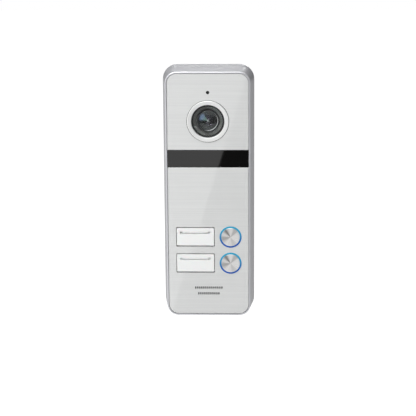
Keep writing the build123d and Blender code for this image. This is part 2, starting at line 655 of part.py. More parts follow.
def wall_bracket():
    """Pressed steel plate with a cable opening, four screw holes, two hooks and a lower lip."""
    width, height, opening_z = CABLE_OPENING
    middle, length = (BRACKET_TOP + BRACKET_BOTTOM) / 2, BRACKET_TOP - BRACKET_BOTTOM
    plate = rounded(BRACKET_WIDTH, length, 5.0, 0, middle) - rounded(width, height, 3.0, 0, opening_z)
    for side in (-1, 1):
        plate -= Pos(side * HOOK_X, 61.2) * Rectangle(9.2, 9.6)
    bracket = prism(plate, 0.0, BRACKET_THICKNESS)
    bracket -= holes(BRACKET_HOLES, BRACKET_HOLE_RADIUS, 0.0, BRACKET_THICKNESS)
    hook_width, hook_back, hook_front = 8.0, 3.4, 4.6
    for side in (-1, 1):
        bracket += block(hook_width, 1.4, 0.0, hook_front, side * HOOK_X, 55.9)
        bracket += block(hook_width, 9.0, hook_back, hook_front, side * HOOK_X, 61.0)
    bracket += block(18.0, 1.5, 0.0, LIP_HEIGHT, 0, BRACKET_BOTTOM + 0.75)
    return bracket - Pos(0, -SECURITY_SCREW_HEIGHT, BRACKET_BOTTOM) * Cylinder(1.25, 5.0)


def security_screw():
    """Hexagon socket screw that comes up through the housing into the bracket's lip."""
    head = Pos(0, 0, -94.1) * Cylinder(2.5, 1.4)
    head = chamfer(head.edges().filter_by(GeomType.CIRCLE).sort_by(Axis.Z)[0], 0.4)
    head += Pos(0, 0, -88.0) * Cylinder(1.2, 10.9)
    socket = Pos(0, 0, -94.5) * extrude(RegularPolygon(1.1, 6), 0.9, both=True)
    return Pos(0, -SECURITY_SCREW_HEIGHT, 0) * (head - socket)


def wall_gasket():
    return rounded_frame(inset(HOUSING, 0.6), inset(HOUSING, 2.0), 0.0, BACK_EDGE)


# ---- assembly --------------------------------------------------------------------------------
SINGLE_PIECES = (
    front_housing, upper_face_plate, lower_face_plate, face_plate_tape, night_vision_window,
    camera_bezel_ring, camera_bezel_seal, camera_window, camera_window_seal, lens_shroud,
    lens_barrel, lens_front_glass, lens_lock_ring, lens_holder, ir_cut_filter, image_sensor,
    camera_board,
    internal_screws, night_vision_leds, light_sensor, night_vision_board, microphone_boot,
    microphone_capsule, speaker_mesh, speaker_gasket, speaker_basket, speaker_cone,
    speaker_magnet, speaker_clamp, main_board, backlight_leds, board_chips,
    board_capacitors, volume_trimmer_body, volume_trimmer_rotor, cable_socket,
    cable_socket_pins, rear_cover, rear_cover_seal, rear_cover_screws, wall_bracket,
    security_screw, wall_gasket,
)
ROW_PIECES = (
    button_cap, button_plunger, button_pill, button_halo, button_dome, nameplate_cover,
    name_card, nameplate_light_box,
)


def main():
    os.makedirs("parts", exist_ok=True)
    for piece in SINGLE_PIECES:
        export_step(piece(), f"parts/{piece.__name__}.step")
    for piece in ROW_PIECES:
        for number, z in enumerate(ROW_Z, start=1):
            export_step(piece(z), f"parts/{piece.__name__}_{number}.step")


main()
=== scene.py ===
"""Looks of a two-flat video door station, laid out as a Blender add-on and run as a script.

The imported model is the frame. Its nodes keep their shapes and get their materials here, and the
small pieces that the frame leaves out are modelled around it. Lengths are in metres. X runs to
the visitor's right, Z up, and the wall is the plane Y = 0, so the station faces -Y.
"""
import math

import bmesh
import bpy
from bpy.props import FloatProperty, FloatVectorProperty, IntProperty, PointerProperty
from mathutils import Matrix, Vector


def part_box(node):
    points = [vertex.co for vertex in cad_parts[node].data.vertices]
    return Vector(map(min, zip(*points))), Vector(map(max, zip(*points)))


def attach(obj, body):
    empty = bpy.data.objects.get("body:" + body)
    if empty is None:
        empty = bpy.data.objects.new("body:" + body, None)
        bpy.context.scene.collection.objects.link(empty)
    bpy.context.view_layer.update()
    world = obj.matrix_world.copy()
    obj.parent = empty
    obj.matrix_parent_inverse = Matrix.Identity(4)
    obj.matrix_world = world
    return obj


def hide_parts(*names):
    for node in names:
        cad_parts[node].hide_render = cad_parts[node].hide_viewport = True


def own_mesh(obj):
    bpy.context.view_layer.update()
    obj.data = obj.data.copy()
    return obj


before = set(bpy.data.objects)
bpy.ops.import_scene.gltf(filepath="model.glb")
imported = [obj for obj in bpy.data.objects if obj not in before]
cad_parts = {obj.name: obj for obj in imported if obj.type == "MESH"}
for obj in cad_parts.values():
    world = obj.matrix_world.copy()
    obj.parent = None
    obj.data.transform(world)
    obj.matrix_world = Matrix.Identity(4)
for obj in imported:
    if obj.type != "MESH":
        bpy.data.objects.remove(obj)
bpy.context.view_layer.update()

bl_info = {
    "name": "Door Station Looks",
    "version": (1, 0, 0),
    "blender": (4, 5, 0),
    "location": "3D View > Sidebar > Station",
    "description": "Materials, small pieces, lights and camera for a video door station",
    "category": "Object",
}

MM = 0.001
ROOT = "station"
ROWS = (1, 2)


# ---- places read from the frame ----
def centre(node):
    """Middle of a node's box at rest."""
    low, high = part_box(node)
    return (low + high) / 2


def half_size(node):
    """Half of each side of a node's box at rest."""
    low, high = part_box(node)
    return (high - low) / 2


def front_of(node):
    """Y of the face that looks at the visitor."""
    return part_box(node)[0].y


def back_of(node):
    """Y of the face that looks at the wall."""
    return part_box(node)[1].y


LENS = centre("lens_barrel")
FACE_Y = front_of("lower_face_plate")


# ---- settings ----
def colour(name, description, default):
    """A colour that the user can change."""
    return FloatVectorProperty(
        name=name, description=description, subtype="COLOR", size=3, min=0.0, max=1.0,
        default=default,
    )


def length(name, description, default):
    """A length in metres that the user can change."""
    return FloatProperty(
        name=name, description=description, unit="LENGTH", min=0.0, precision=5, default=default
    )


def power(name, default):
    """A light's power in watts that the user can change."""
    return FloatProperty(name=name, description="Power of the light", unit="POWER", default=default)


class StationFinishSettings(bpy.types.PropertyGroup):
    """Colours and grain of the finishes."""

    plate: colour("Face plates", "Brushed, clear-filmed aluminium of the face", (0.78, 0.79, 0.785))
    housing: colour("Housing", "Satin silver paint of the housing", (0.66, 0.664, 0.695))
    strip: colour("Night-vision strip", "Infrared-clear black of the strip", (0.002, 0.002, 0.002))
    bezel: colour("Bezel", "Satin chrome of the camera bezel", (0.83, 0.835, 0.83))
    cap: colour("Button caps", "Spun aluminium of the call buttons", (0.84, 0.83, 0.825))
    # The halo's two colours paint light and shade onto its glow: paler at the top, deeper below.
    halo_painted_lit_top: colour("Halo, upper part", "Light of the halo at its top", (0.03, 0.27, 0.42))
    halo_painted_shaded_bottom: colour("Halo, lower part", "Light of the halo at its bottom", (0.008, 0.07, 0.31))
    cover: colour("Name plate covers", "Frosted acrylic of the covers", (0.80, 0.81, 0.805))
    # The two lens colours below paint a reflection onto the front glass in the coating's colours.
    painted_reflection_rim: colour("Painted lens reflection, rim", "Bloom of the coating at the rim", (0.06, 0.085, 0.14))
    painted_reflection_middle: colour("Painted lens reflection, middle", "Bloom near the middle", (0.06, 0.11, 0.055))
    board: colour("Boards", "Solder mask of the circuit boards", (0.012, 0.09, 0.035))
    brush_pitch: length("Brushing pitch", "Distance between brushed lines", 0.00022)
    ring_pitch: length("Turning pitch", "Distance between the turned rings on a cap", 0.00012)
    grain_size: length("Paint grain", "Size of the grain in the housing's paint", 0.00025)


class StationPieceSettings(bpy.types.PropertyGroup):
    """Sizes of the small pieces that are modelled here."""

    mask_width: length("Window mask width", "Width of the printed ring behind the window", 0.0019)
    dome_wall: length("Dome wall", "Thickness of a button's silicone dome", 0.0009)
    chip_length: length("Small part length", "Length of a resistor or small capacitor", 0.0016)
    turn_steps: IntProperty(
        name="Turning steps", description="Segments of a full turn", min=24, max=256, default=96
    )


class StationStageSettings(bpy.types.PropertyGroup):
    """Floor, lights and camera."""

    floor_drop: length("Floor drop", "Height of the station's middle above the floor", 1.0)
    focal_length: FloatProperty(
        name="Focal length", description="Camera lens, in millimetres", default=128.2, min=10.0
    )
    key_power: power("Key light", 45.5)
    top_power: power("Top light", 16.0)
    left_power: power("Left light", 10.5)
    right_power: power("Right light", 3.6)
    rear_power: power("Rear light", 14.0)
    card_strength: FloatProperty(
        name="Card strength", description="Radiance of the card that the face mirrors", default=1.32
    )


def finish_settings():
    return bpy.context.scene.station_finish


def piece_settings():
    return bpy.context.scene.station_pieces


def stage_settings():
    return bpy.context.scene.station_stage


# ---- node helpers ----
class Wiring:
    """Short calls for adding and linking shader nodes in one tree."""

    def __init__(self, tree):
        self.tree = tree

    def add(self, kind, inputs=None, **settings):
        """A new node, with these inputs and settings."""
        node = self.tree.nodes.new(kind)
        for name, value in settings.items():
            setattr(node, name, value)
        for key, value in (inputs or {}).items():
            self.feed(node.inputs[key], value)
        return node

    def feed(self, socket, value):
        """Links a socket to another one, or gives it a value."""
        if isinstance(value, bpy.types.NodeSocket):
            self.tree.links.new(value, socket)
        else:
            socket.default_value = value

    def math(self, operation, a, b=0.0, clamp=False):
        node = self.add("ShaderNodeMath", {0: a, 1: b}, operation=operation, use_clamp=clamp)
        return node.outputs[0]

    def remap(self, value, low, high, to_low=0.0, to_high=1.0, kind="LINEAR"):
        node = self.add(
            "ShaderNodeMapRange", {0: value, 1: low, 2: high, 3: to_low, 4: to_high},
            interpolation_type=kind,
        )
        return node.outputs[0]

    def mix(self, factor, a, b):
        """Colour a where the factor is 0, and b where it is 1."""
        node = self.add("ShaderNodeMix", data_type="RGBA")
        self.feed(node.inputs[0], factor)
        self.feed(node.inputs[6], a)
        self.feed(node.inputs[7], b)
        return node.outputs[2]

    def shade(self, tint, factor):
        """The colour, made lighter or darker by a factor that changes over the surface."""
        node = self.add("ShaderNodeVectorMath", operation="SCALE")
        self.feed(node.inputs[0], tint)
        self.feed(node.inputs[3], factor)
        return node.outputs[0]

    def noise(self, position, scale, detail=3.0, roughness=0.5, dimensions="3D"):
        """Noise in space, or along one number where dimensions is 1D."""
        inputs = {"Scale": scale, "Detail": detail, "Roughness": roughness}
        inputs["W" if dimensions == "1D" else "Vector"] = position
        node = self.add("ShaderNodeTexNoise", inputs, noise_dimensions=dimensions)
        return node.outputs[0]

    def stretch(self, position, scales):
        """Position with each axis multiplied, each by a number or a socket."""
        parts = self.add("ShaderNodeSeparateXYZ", {0: position})
        scaled = [self.times(parts.outputs[i], scales[i]) for i in range(3)]
        return self.add("ShaderNodeCombineXYZ", dict(enumerate(scaled))).outputs[0]

    def polar(self, position):
        """Radius and angle about the Y axis, the angle clockwise from the top."""
        parts = self.add("ShaderNodeSeparateXYZ", {0: position}).outputs
        square = [self.times(parts[i], parts[i]) for i in (0, 2)]
        radius = self.math("SQRT", self.math("ADD", *square))
        return radius, self.math("ARCTAN2", parts[0], parts[2])

    def blend(self, a, b, share):
        """Two patterns added up, the first with this share of the whole."""
        first = self.times(a, share)
        return self.math("ADD", first, self.times(b, 1.0 - share))

    def swing(self, pattern, size):
        """The pattern, centred on 0 and given a size."""
        return self.times(self.math("SUBTRACT", pattern, 0.5), size)

    def times(self, a, b):
        return self.math("MULTIPLY", a, b)


KINDS = {"vector": "NodeSocketVector", "colour": "NodeSocketColor", "float": "NodeSocketFloat"}
SURFACE_OUTPUTS = (("Colour", "colour"), ("Roughness", "float"), ("Height", "float"))


def new_group(name, inputs, outputs=SURFACE_OUTPUTS):
    """An empty node group with a position and these sockets, its wiring and its two end nodes."""
    tree = bpy.data.node_groups.new(name, "ShaderNodeTree")
    for socket_name, kind in (("Position", "vector"), *inputs):
        tree.interface.new_socket(name=socket_name, in_out="INPUT", socket_type=KINDS[kind])
    for socket_name, kind in outputs:
        tree.interface.new_socket(name=socket_name, in_out="OUTPUT", socket_type=KINDS[kind])
    wiring = Wiring(tree)
    return tree, wiring, wiring.add("NodeGroupInput").outputs, wiring.add("NodeGroupOutput").inputs


def give_surface(wiring, given, result, swing, change, height):
    """Ends a surface group: its colour and roughness swing about what the group is given."""
    factor = wiring.math("ADD", swing, 1.0)
    wiring.feed(result["Colour"], wiring.shade(given["Colour"], factor))
    roughness = wiring.math("ADD", given["Roughness"], change, clamp=True)
    wiring.feed(result["Roughness"], roughness)
    wiring.feed(result["Height"], height)


def grain_group():
    """Fine grain over soft mottling, for paint, plastic, rubber, card and foam."""
    mottle_scale, fine_share = 0.05, 0.6
    tree, wiring, given, result = new_group("Grain", (
        ("Colour", "colour"), ("Grain", "float"), ("Variation", "float"), ("Roughness", "float"),
        ("Roughness Change", "float"),
    ))
    fine_scale = wiring.math("DIVIDE", 1.0, given["Grain"])
    fine = wiring.noise(given["Position"], fine_scale, 2.0)
    mottle = wiring.noise(given["Position"], wiring.times(fine_scale, mottle_scale), 4.0)
    swing = wiring.swing(wiring.blend(fine, mottle, fine_share), given["Variation"])
    change = wiring.swing(mottle, given["Roughness Change"])
    give_surface(wiring, given, result, swing, change, fine)
    return tree


def brushed_group():
    """Lines along X of uneven length and depth, as a linisher leaves them."""
    line_stretch, wide_pitch, wide_stretch, fine_share = 0.006, 0.22, 0.35, 0.55
    tree, wiring, given, result = new_group("Brushed Lines", (
        ("Colour", "colour"), ("Pitch", "float"), ("Contrast", "float"), ("Roughness", "float"),
        ("Roughness Change", "float"),
    ))
    across = wiring.math("DIVIDE", 1.0, given["Pitch"])
    along = wiring.times(across, line_stretch)
    fine = wiring.noise(wiring.stretch(given["Position"], (along, along, across)), 1.0, 3.0, 0.6)
    wide_across = wiring.times(across, wide_pitch)
    wide_along = wiring.times(along, wide_stretch)
    wide_position = wiring.stretch(given["Position"], (wide_along, wide_along, wide_across))
    wide = wiring.noise(wide_position, 1.0, 3.0, 0.55)
    swing = wiring.swing(wiring.blend(fine, wide, fine_share), given["Contrast"])
    change = wiring.swing(wide, given["Roughness Change"])
    give_surface(wiring, given, result, swing, change, fine)
    return tree


# Painted shade wedges in the painted sheen fan of a turned face, dark wedges that stand for
# reflections: bearing in degrees clockwise from the top, sharpness and depth.
PAINTED_SHADE_WEDGES = ((35.0, 16.0, 0.42), (157.0, 14.0, 0.25), (258.0, 12.0, 0.55), (324.0, 22.0, 0.80))


def turned_group():
    """Rings about the Y axis, with a fan of painted sheen and painted shade like the reflections on
    a turned flat face.
    """
    ring_scale, ray_count, ray_swing = 0.6, 7.0, 0.45
    tree, wiring, given, result = new_group("Turned Rings", (
        ("Colour", "colour"), ("Pitch", "float"), ("Ring Contrast", "float"), ("Fan", "float"),
        ("Roughness", "float"),
    ))
    radius, angle = wiring.polar(given["Position"])
    turns = wiring.math("DIVIDE", radius, given["Pitch"])
    rings = wiring.noise(turns, ring_scale, 2.0, 0.6, "1D")
    # The rays and the dark wedges below are painted sheen and painted shade.
    rays = wiring.noise(wiring.times(angle, ray_count), 1.0, 2.0, 0.6, "1D")
    painted_sheen_fan = wiring.swing(rays, ray_swing)
    for bearing, sharpness, depth in PAINTED_SHADE_WEDGES:
        facing = wiring.math("COSINE", wiring.math("SUBTRACT", angle, math.radians(bearing)))
        painted_light_wedge = wiring.math("POWER", wiring.math("MAXIMUM", facing, 0.0), sharpness)
        painted_sheen_fan = wiring.math("SUBTRACT", painted_sheen_fan, wiring.times(painted_light_wedge, depth))
    ring_swing = wiring.swing(rings, given["Ring Contrast"])
    both = wiring.math("ADD", ring_swing, wiring.times(painted_sheen_fan, given["Fan"]))
    give_surface(wiring, given, result, both, ring_swing, rings)
    return tree


def board_group():
    """Copper tracks under solder mask, with round vias."""
    track_width, via_spacing, track_cover, track_brightness = 0.06, 0.6, 0.55, 2.6
    via_radius, via_edge = 0.09, 0.12
    tree, wiring, given, result = new_group("Board Tracks", (
        ("Mask", "colour"), ("Copper", "colour"), ("Pitch", "float"),
    ))
    parts = wiring.add("ShaderNodeSeparateXYZ", {0: given["Position"]}).outputs
    flat = wiring.add("ShaderNodeCombineXYZ", {0: parts[0], 1: parts[2]}).outputs[0]
    scale = wiring.math("DIVIDE", 1.0, given["Pitch"])
    bricks = wiring.add(
        "ShaderNodeTexBrick", {"Vector": flat, "Scale": scale, "Mortar Size": track_width},
        offset=0.37, squash=1.6, squash_frequency=3,
    )
    cells = wiring.add(
        "ShaderNodeTexVoronoi",
        {"Vector": flat, "Scale": wiring.times(scale, via_spacing)}, feature="F1",
    )
    via = wiring.remap(cells.outputs["Distance"], via_radius, via_edge, 1.0, 0.0)
    track = wiring.times(bricks.outputs["Fac"], track_cover)
    tracked = wiring.mix(track, given["Mask"], wiring.shade(given["Mask"], track_brightness))
    wiring.feed(result["Colour"], wiring.mix(via, tracked, given["Copper"]))
    mask_roughness, copper_roughness = 0.38, 0.25
    roughness = wiring.remap(via, 0.0, 1.0, mask_roughness, copper_roughness)
    wiring.feed(result["Roughness"], roughness)
    wiring.feed(result["Height"], wiring.math("ADD", bricks.outputs["Fac"], via))
    return tree


def woven_group():
    """Over-and-under wires of a fine woven mesh, with the holes as a mask."""
    tree, wiring, given, result = new_group(
        "Woven Wire", [("Pitch", "float")], (("Hole", "float"), ("Height", "float"))
    )
    parts = wiring.add("ShaderNodeSeparateXYZ", {0: given["Position"]}).outputs
    turns = wiring.math("DIVIDE", 2 * math.pi, given["Pitch"])
    waves = [wiring.math("SINE", wiring.times(parts[i], turns)) for i in (0, 2)]
    opening = wiring.math("MINIMUM", *[wiring.math("ABSOLUTE", wave) for wave in waves])
    wire_edge, hole_edge = 0.55, 0.7
    wiring.feed(result["Hole"], wiring.remap(opening, wire_edge, hole_edge))
    wiring.feed(result["Height"], wiring.times(*waves))
    return tree


GROUP_MAKERS = {
    "grain": grain_group, "brushed": brushed_group, "turned": turned_group, "board": board_group,
    "woven": woven_group,
}
groups = {}


def group(name):
    """The shared node group of this name, built when it is first asked for."""
    if name not in groups:
        groups[name] = GROUP_MAKERS[name]()
    return groups[name]


def is_colour(value):
    return isinstance(value, (tuple, bpy.types.bpy_prop_array)) and len(value) == 3


def new_material(name, **values):
    """A material with its Principled shader, and numbers set directly on the shader's sockets."""
    material = bpy.data.materials.new(name)
    material.use_nodes = True
    shader = material.node_tree.nodes["Principled BSDF"]
    for key, value in values.items():
        socket = shader.inputs[key.replace("_", " ").title().replace("Ior", "IOR")]
        socket.default_value = (*value, 1.0) if is_colour(value) else value
    return material, Wiring(material.node_tree), shader


def object_position(wiring, middle=(0.0, 0.0, 0.0), turn=(0.0, 0.0, 0.0)):
    """Object coordinates, centred on a point and turned."""
    coordinates = wiring.add("ShaderNodeTexCoord").outputs["Object"]
    mapping = wiring.add("ShaderNodeMapping", {"Vector": coordinates}, vector_type="TEXTURE")
    mapping.inputs["Location"].default_value = middle
    mapping.inputs["Rotation"].default_value = turn
    return mapping.outputs[0]


def place_group(wiring, name, inputs):
    """Places a shared group in a material, and returns its outputs."""
    node = wiring.add("ShaderNodeGroup", node_tree=group(name))
    for key, value in inputs.items():
        if is_colour(value) and node.inputs[key].type == "RGBA":
            value = (*value, 1.0)
        wiring.feed(node.inputs[key], value)
    return node.outputs


def apply_surface(wiring, shader, surface, bump_depth):
    """Feeds a group's colour, roughness and height to the shader."""
    wiring.feed(shader.inputs["Base Color"], surface["Colour"])
    wiring.feed(shader.inputs["Roughness"], surface["Roughness"])
    add_bump(wiring, shader, surface["Height"], bump_depth)


def add_bump(wiring, shader, height, depth):
    """Tilts the shading by a height pattern of this depth."""
    bump = wiring.add("ShaderNodeBump", {"Height": height, "Distance": depth, "Strength": 1.0})
    wiring.feed(shader.inputs["Normal"], bump.outputs[0])


def grained(
    name, tint, roughness, grain=0.3 * MM, variation=0.12, depth=0.01 * MM, change=0.12, **values
):
    """A moulded, painted, rubber or card finish."""
    material, wiring, shader = new_material(name, **values)
    surface = place_group(wiring, "grain", {
        "Position": object_position(wiring), "Colour": tuple(tint), "Grain": grain,
        "Variation": variation, "Roughness": roughness, "Roughness Change": change,
    })
    apply_surface(wiring, shader, surface, depth)
    return material


# Finishes that have grain and nothing more: colour, roughness, size of the grain in millimetres,
# how much the lightness varies, depth of the grain in millimetres, and metallic.
PLAIN_FINISHES = {
    "Closed-cell Foam": ((0.02, 0.02, 0.02), 0.85, 0.5, 0.8, 0.08, 0.0),
    "Matt Black Optics": ((0.02, 0.02, 0.021), 0.45, 0.2, 0.5, 0.004, 0.0),
    "Black Seal Rubber": ((0.015, 0.015, 0.015), 0.6, 0.3, 0.4, 0.01, 0.0),
    "Sensor Cover Glass": ((0.03, 0.035, 0.045), 0.12, 1.0, 0.3, 0.0001, 0.0),
    "White Acetal": ((0.78, 0.78, 0.76), 0.42, 0.3, 0.08, 0.003, 0.0),
    "Carbon Rubber": ((0.01, 0.01, 0.01), 0.7, 0.2, 0.5, 0.005, 0.0),
    "Blank Card": ((0.88, 0.88, 0.86), 0.8, 0.12, 0.08, 0.01, 0.0),
    "White Light Box": ((0.82, 0.82, 0.8), 0.5, 0.3, 0.06, 0.004, 0.0),
    "Black Silicone Boot": ((0.006, 0.006, 0.006), 0.7, 0.3, 0.12, 0.01, 0.0),
    "Black Enamel": ((0.015, 0.015, 0.016), 0.35, 0.3, 0.4, 0.004, 0.0),
    "Moulded Epoxy": ((0.018, 0.018, 0.02), 0.5, 0.15, 0.5, 0.004, 0.0),
    "Photocell": ((0.45, 0.13, 0.05), 0.4, 0.3, 0.5, 0.01, 0.0),
    "Blue Thermoplastic": ((0.02, 0.09, 0.3), 0.35, 0.2, 0.1, 0.002, 0.0),
    "White Rotor": ((0.78, 0.77, 0.72), 0.4, 0.3, 0.12, 0.01, 0.0),
    "Natural Nylon": ((0.72, 0.69, 0.58), 0.42, 0.3, 0.1, 0.003, 0.0),
    "Bright Zinc": ((0.62, 0.63, 0.62), 0.3, 0.25, 0.2, 0.002, 1.0),
    "Black Moulding": ((0.025, 0.025, 0.027), 0.55, 0.35, 0.3, 0.02, 0.0),
    "Zinc Screws": ((0.42, 0.43, 0.43), 0.42, 0.25, 0.2, 0.002, 0.8),
    "Stainless Screw": ((0.6, 0.6, 0.61), 0.25, 0.2, 0.1, 0.001, 1.0),
}


def plain(name):
    """A finish from the table above."""
    tint, roughness, grain, variation, depth, metallic = PLAIN_FINISHES[name]
    return grained(
        name, tint, roughness=roughness, grain=grain * MM, variation=variation, depth=depth * MM,
        metallic=metallic,
    )


def brushed(name, tint, roughness, pitch, contrast, depth, turn=(0.0, 0.0, 0.0), **values):
    """A linished metal finish, along X unless it is turned."""
    roughness_change = 0.2
    material, wiring, shader = new_material(name, **values)
    surface = place_group(wiring, "brushed", {
        "Position": object_position(wiring, turn=turn), "Colour": tuple(tint), "Pitch": pitch,
        "Contrast": contrast, "Roughness": roughness, "Roughness Change": roughness_change,
    })
    apply_surface(wiring, shader, surface, depth)
    return material


def turned_finish(name, tint, roughness, middle, pitch, depth, painted_sheen_fan=0.0, rings=0.12, **values):
    """A finish turned about an axis through a point, square to the wall."""
    material, wiring, shader = new_material(name, **values)
    surface = place_group(wiring, "turned", {
        "Position": object_position(wiring, middle), "Colour": tuple(tint), "Pitch": pitch,
        "Ring Contrast": rings, "Fan": painted_sheen_fan, "Roughness": roughness,
    })
    apply_surface(wiring, shader, surface, depth)
    return material


def uneven_gloss(wiring, shader, scale, detail, clean, hazy):
    """Roughness that wanders between two values, as dust and touch leave glass."""
    thin, thick = 0.3, 0.8
    haze = wiring.noise(object_position(wiring), scale, detail)
    wiring.feed(shader.inputs["Roughness"], wiring.remap(haze, thin, thick, clean, hazy))


def shader_of(material):
    """The wiring of a material that is already made, and its shader."""
    return Wiring(material.node_tree), material.node_tree.nodes["Principled BSDF"]


def dress(material, *names):
    """Gives a material to CAD nodes or new pieces."""
    for name in names:
        mesh = bpy.data.objects[name].data
        mesh.materials.clear()
        mesh.materials.append(material)


# ---- mesh helpers ----
def link_mesh(name, mesh_data):
    """Puts a finished bmesh into the scene as an object."""
    mesh = bpy.data.meshes.new(name)
    mesh_data.to_mesh(mesh)
    mesh_data.free()
    made = bpy.data.objects.new(name, mesh)
    bpy.context.scene.collection.objects.link(made)
    return made


def finish_piece(name, mesh_data, smooth=True):
    """Turns a bmesh into a piece that rides on the station."""
    piece = link_mesh(name, mesh_data)
    if smooth:
        polygons = piece.data.polygons
        polygons.foreach_set("use_smooth", [True] * len(polygons))
    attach(piece, ROOT)
    return piece


def turned_piece(name, profile, middle, smooth=True):
    """A closed loop of (radius, Y) points, spun about an axis that is square to the wall."""
    mesh_data = bmesh.new()
    points = [mesh_data.verts.new((middle.x + radius, y, middle.z)) for radius, y in profile]
    edges = [mesh_data.edges.new((a, b)) for a, b in zip(points, points[1:] + points[:1])]
    bmesh.ops.spin(
        mesh_data, geom=points + edges, cent=middle, axis=(0.0, 1.0, 0.0), angle=2 * math.pi,
        steps=piece_settings().turn_steps, use_merge=True,
    )
    bmesh.ops.recalc_face_normals(mesh_data, faces=mesh_data.faces)
    return finish_piece(name, mesh_data, smooth)


def lens_profile(radius, front, back, front_bulge, back_bulge):
    """Half outline of a lens element, closed with a hair-wide hole on its axis."""
    hair, steps = 0.01 * MM, 10
    radii = [hair + (radius - hair) * i / steps for i in range(steps + 1)]
    near = [(r, front - front_bulge * (1 - (r / radius) ** 2)) for r in radii]
    far = [(r, back + back_bulge * (1 - (r / radius) ** 2)) for r in reversed(radii)]
    return near + far


def add_box(mesh_data, middle, size, bevel):
    """A bevelled block, added to the bmesh."""
    made = bmesh.ops.create_cube(
        mesh_data, size=1.0, matrix=Matrix.Translation(middle) @ Matrix.Diagonal((*size, 1.0))
    )
    edges = {edge for vert in made["verts"] for edge in vert.link_edges}
    bmesh.ops.bevel(
        mesh_data, geom=list(edges), offset=bevel, affect="EDGES", segments=2, profile=0.5,
        material=-1,
    )


# ---- operators: pieces ----
class STATION_OT_housing(bpy.types.Operator):
    """Paint the front housing and finish the foam gaskets and tape"""

    bl_idname = "station.housing"
    bl_label = "Housing"

    def execute(self, context):
        settings = finish_settings()
        paint = grained(
            "Satin Silver Paint", settings.housing, roughness=0.36, grain=settings.grain_size,
            variation=0.06, depth=0.002 * MM, metallic=0.55, coat_weight=0.35, coat_roughness=0.18,
        )
        dress(paint, "front_housing")
        dress(plain("Closed-cell Foam"), "wall_gasket", "speaker_gasket", "face_plate_tape")
        return {"FINISHED"}


class STATION_OT_face(bpy.types.Operator):
    """Finish the two brushed face plates and the night-vision strip"""

    bl_idname = "station.face"
    bl_label = "Face"

    def execute(self, context):
        settings = finish_settings()
        plate = brushed(
            "Brushed Face Aluminium", settings.plate, roughness=0.42, pitch=settings.brush_pitch,
            contrast=0.26, depth=0.0025 * MM, metallic=0.4, coat_weight=1.0, coat_roughness=0.01,
        )
        dress(plate, "upper_face_plate", "lower_face_plate")
        strip = grained(
            "Infrared Black Acrylic", settings.strip, roughness=0.02, grain=4.0 * MM, variation=0.5,
            depth=0.0001 * MM, change=0.01, coat_weight=0.0, ior=1.5,
        )
        dress(strip, "night_vision_window")
        return {"FINISHED"}


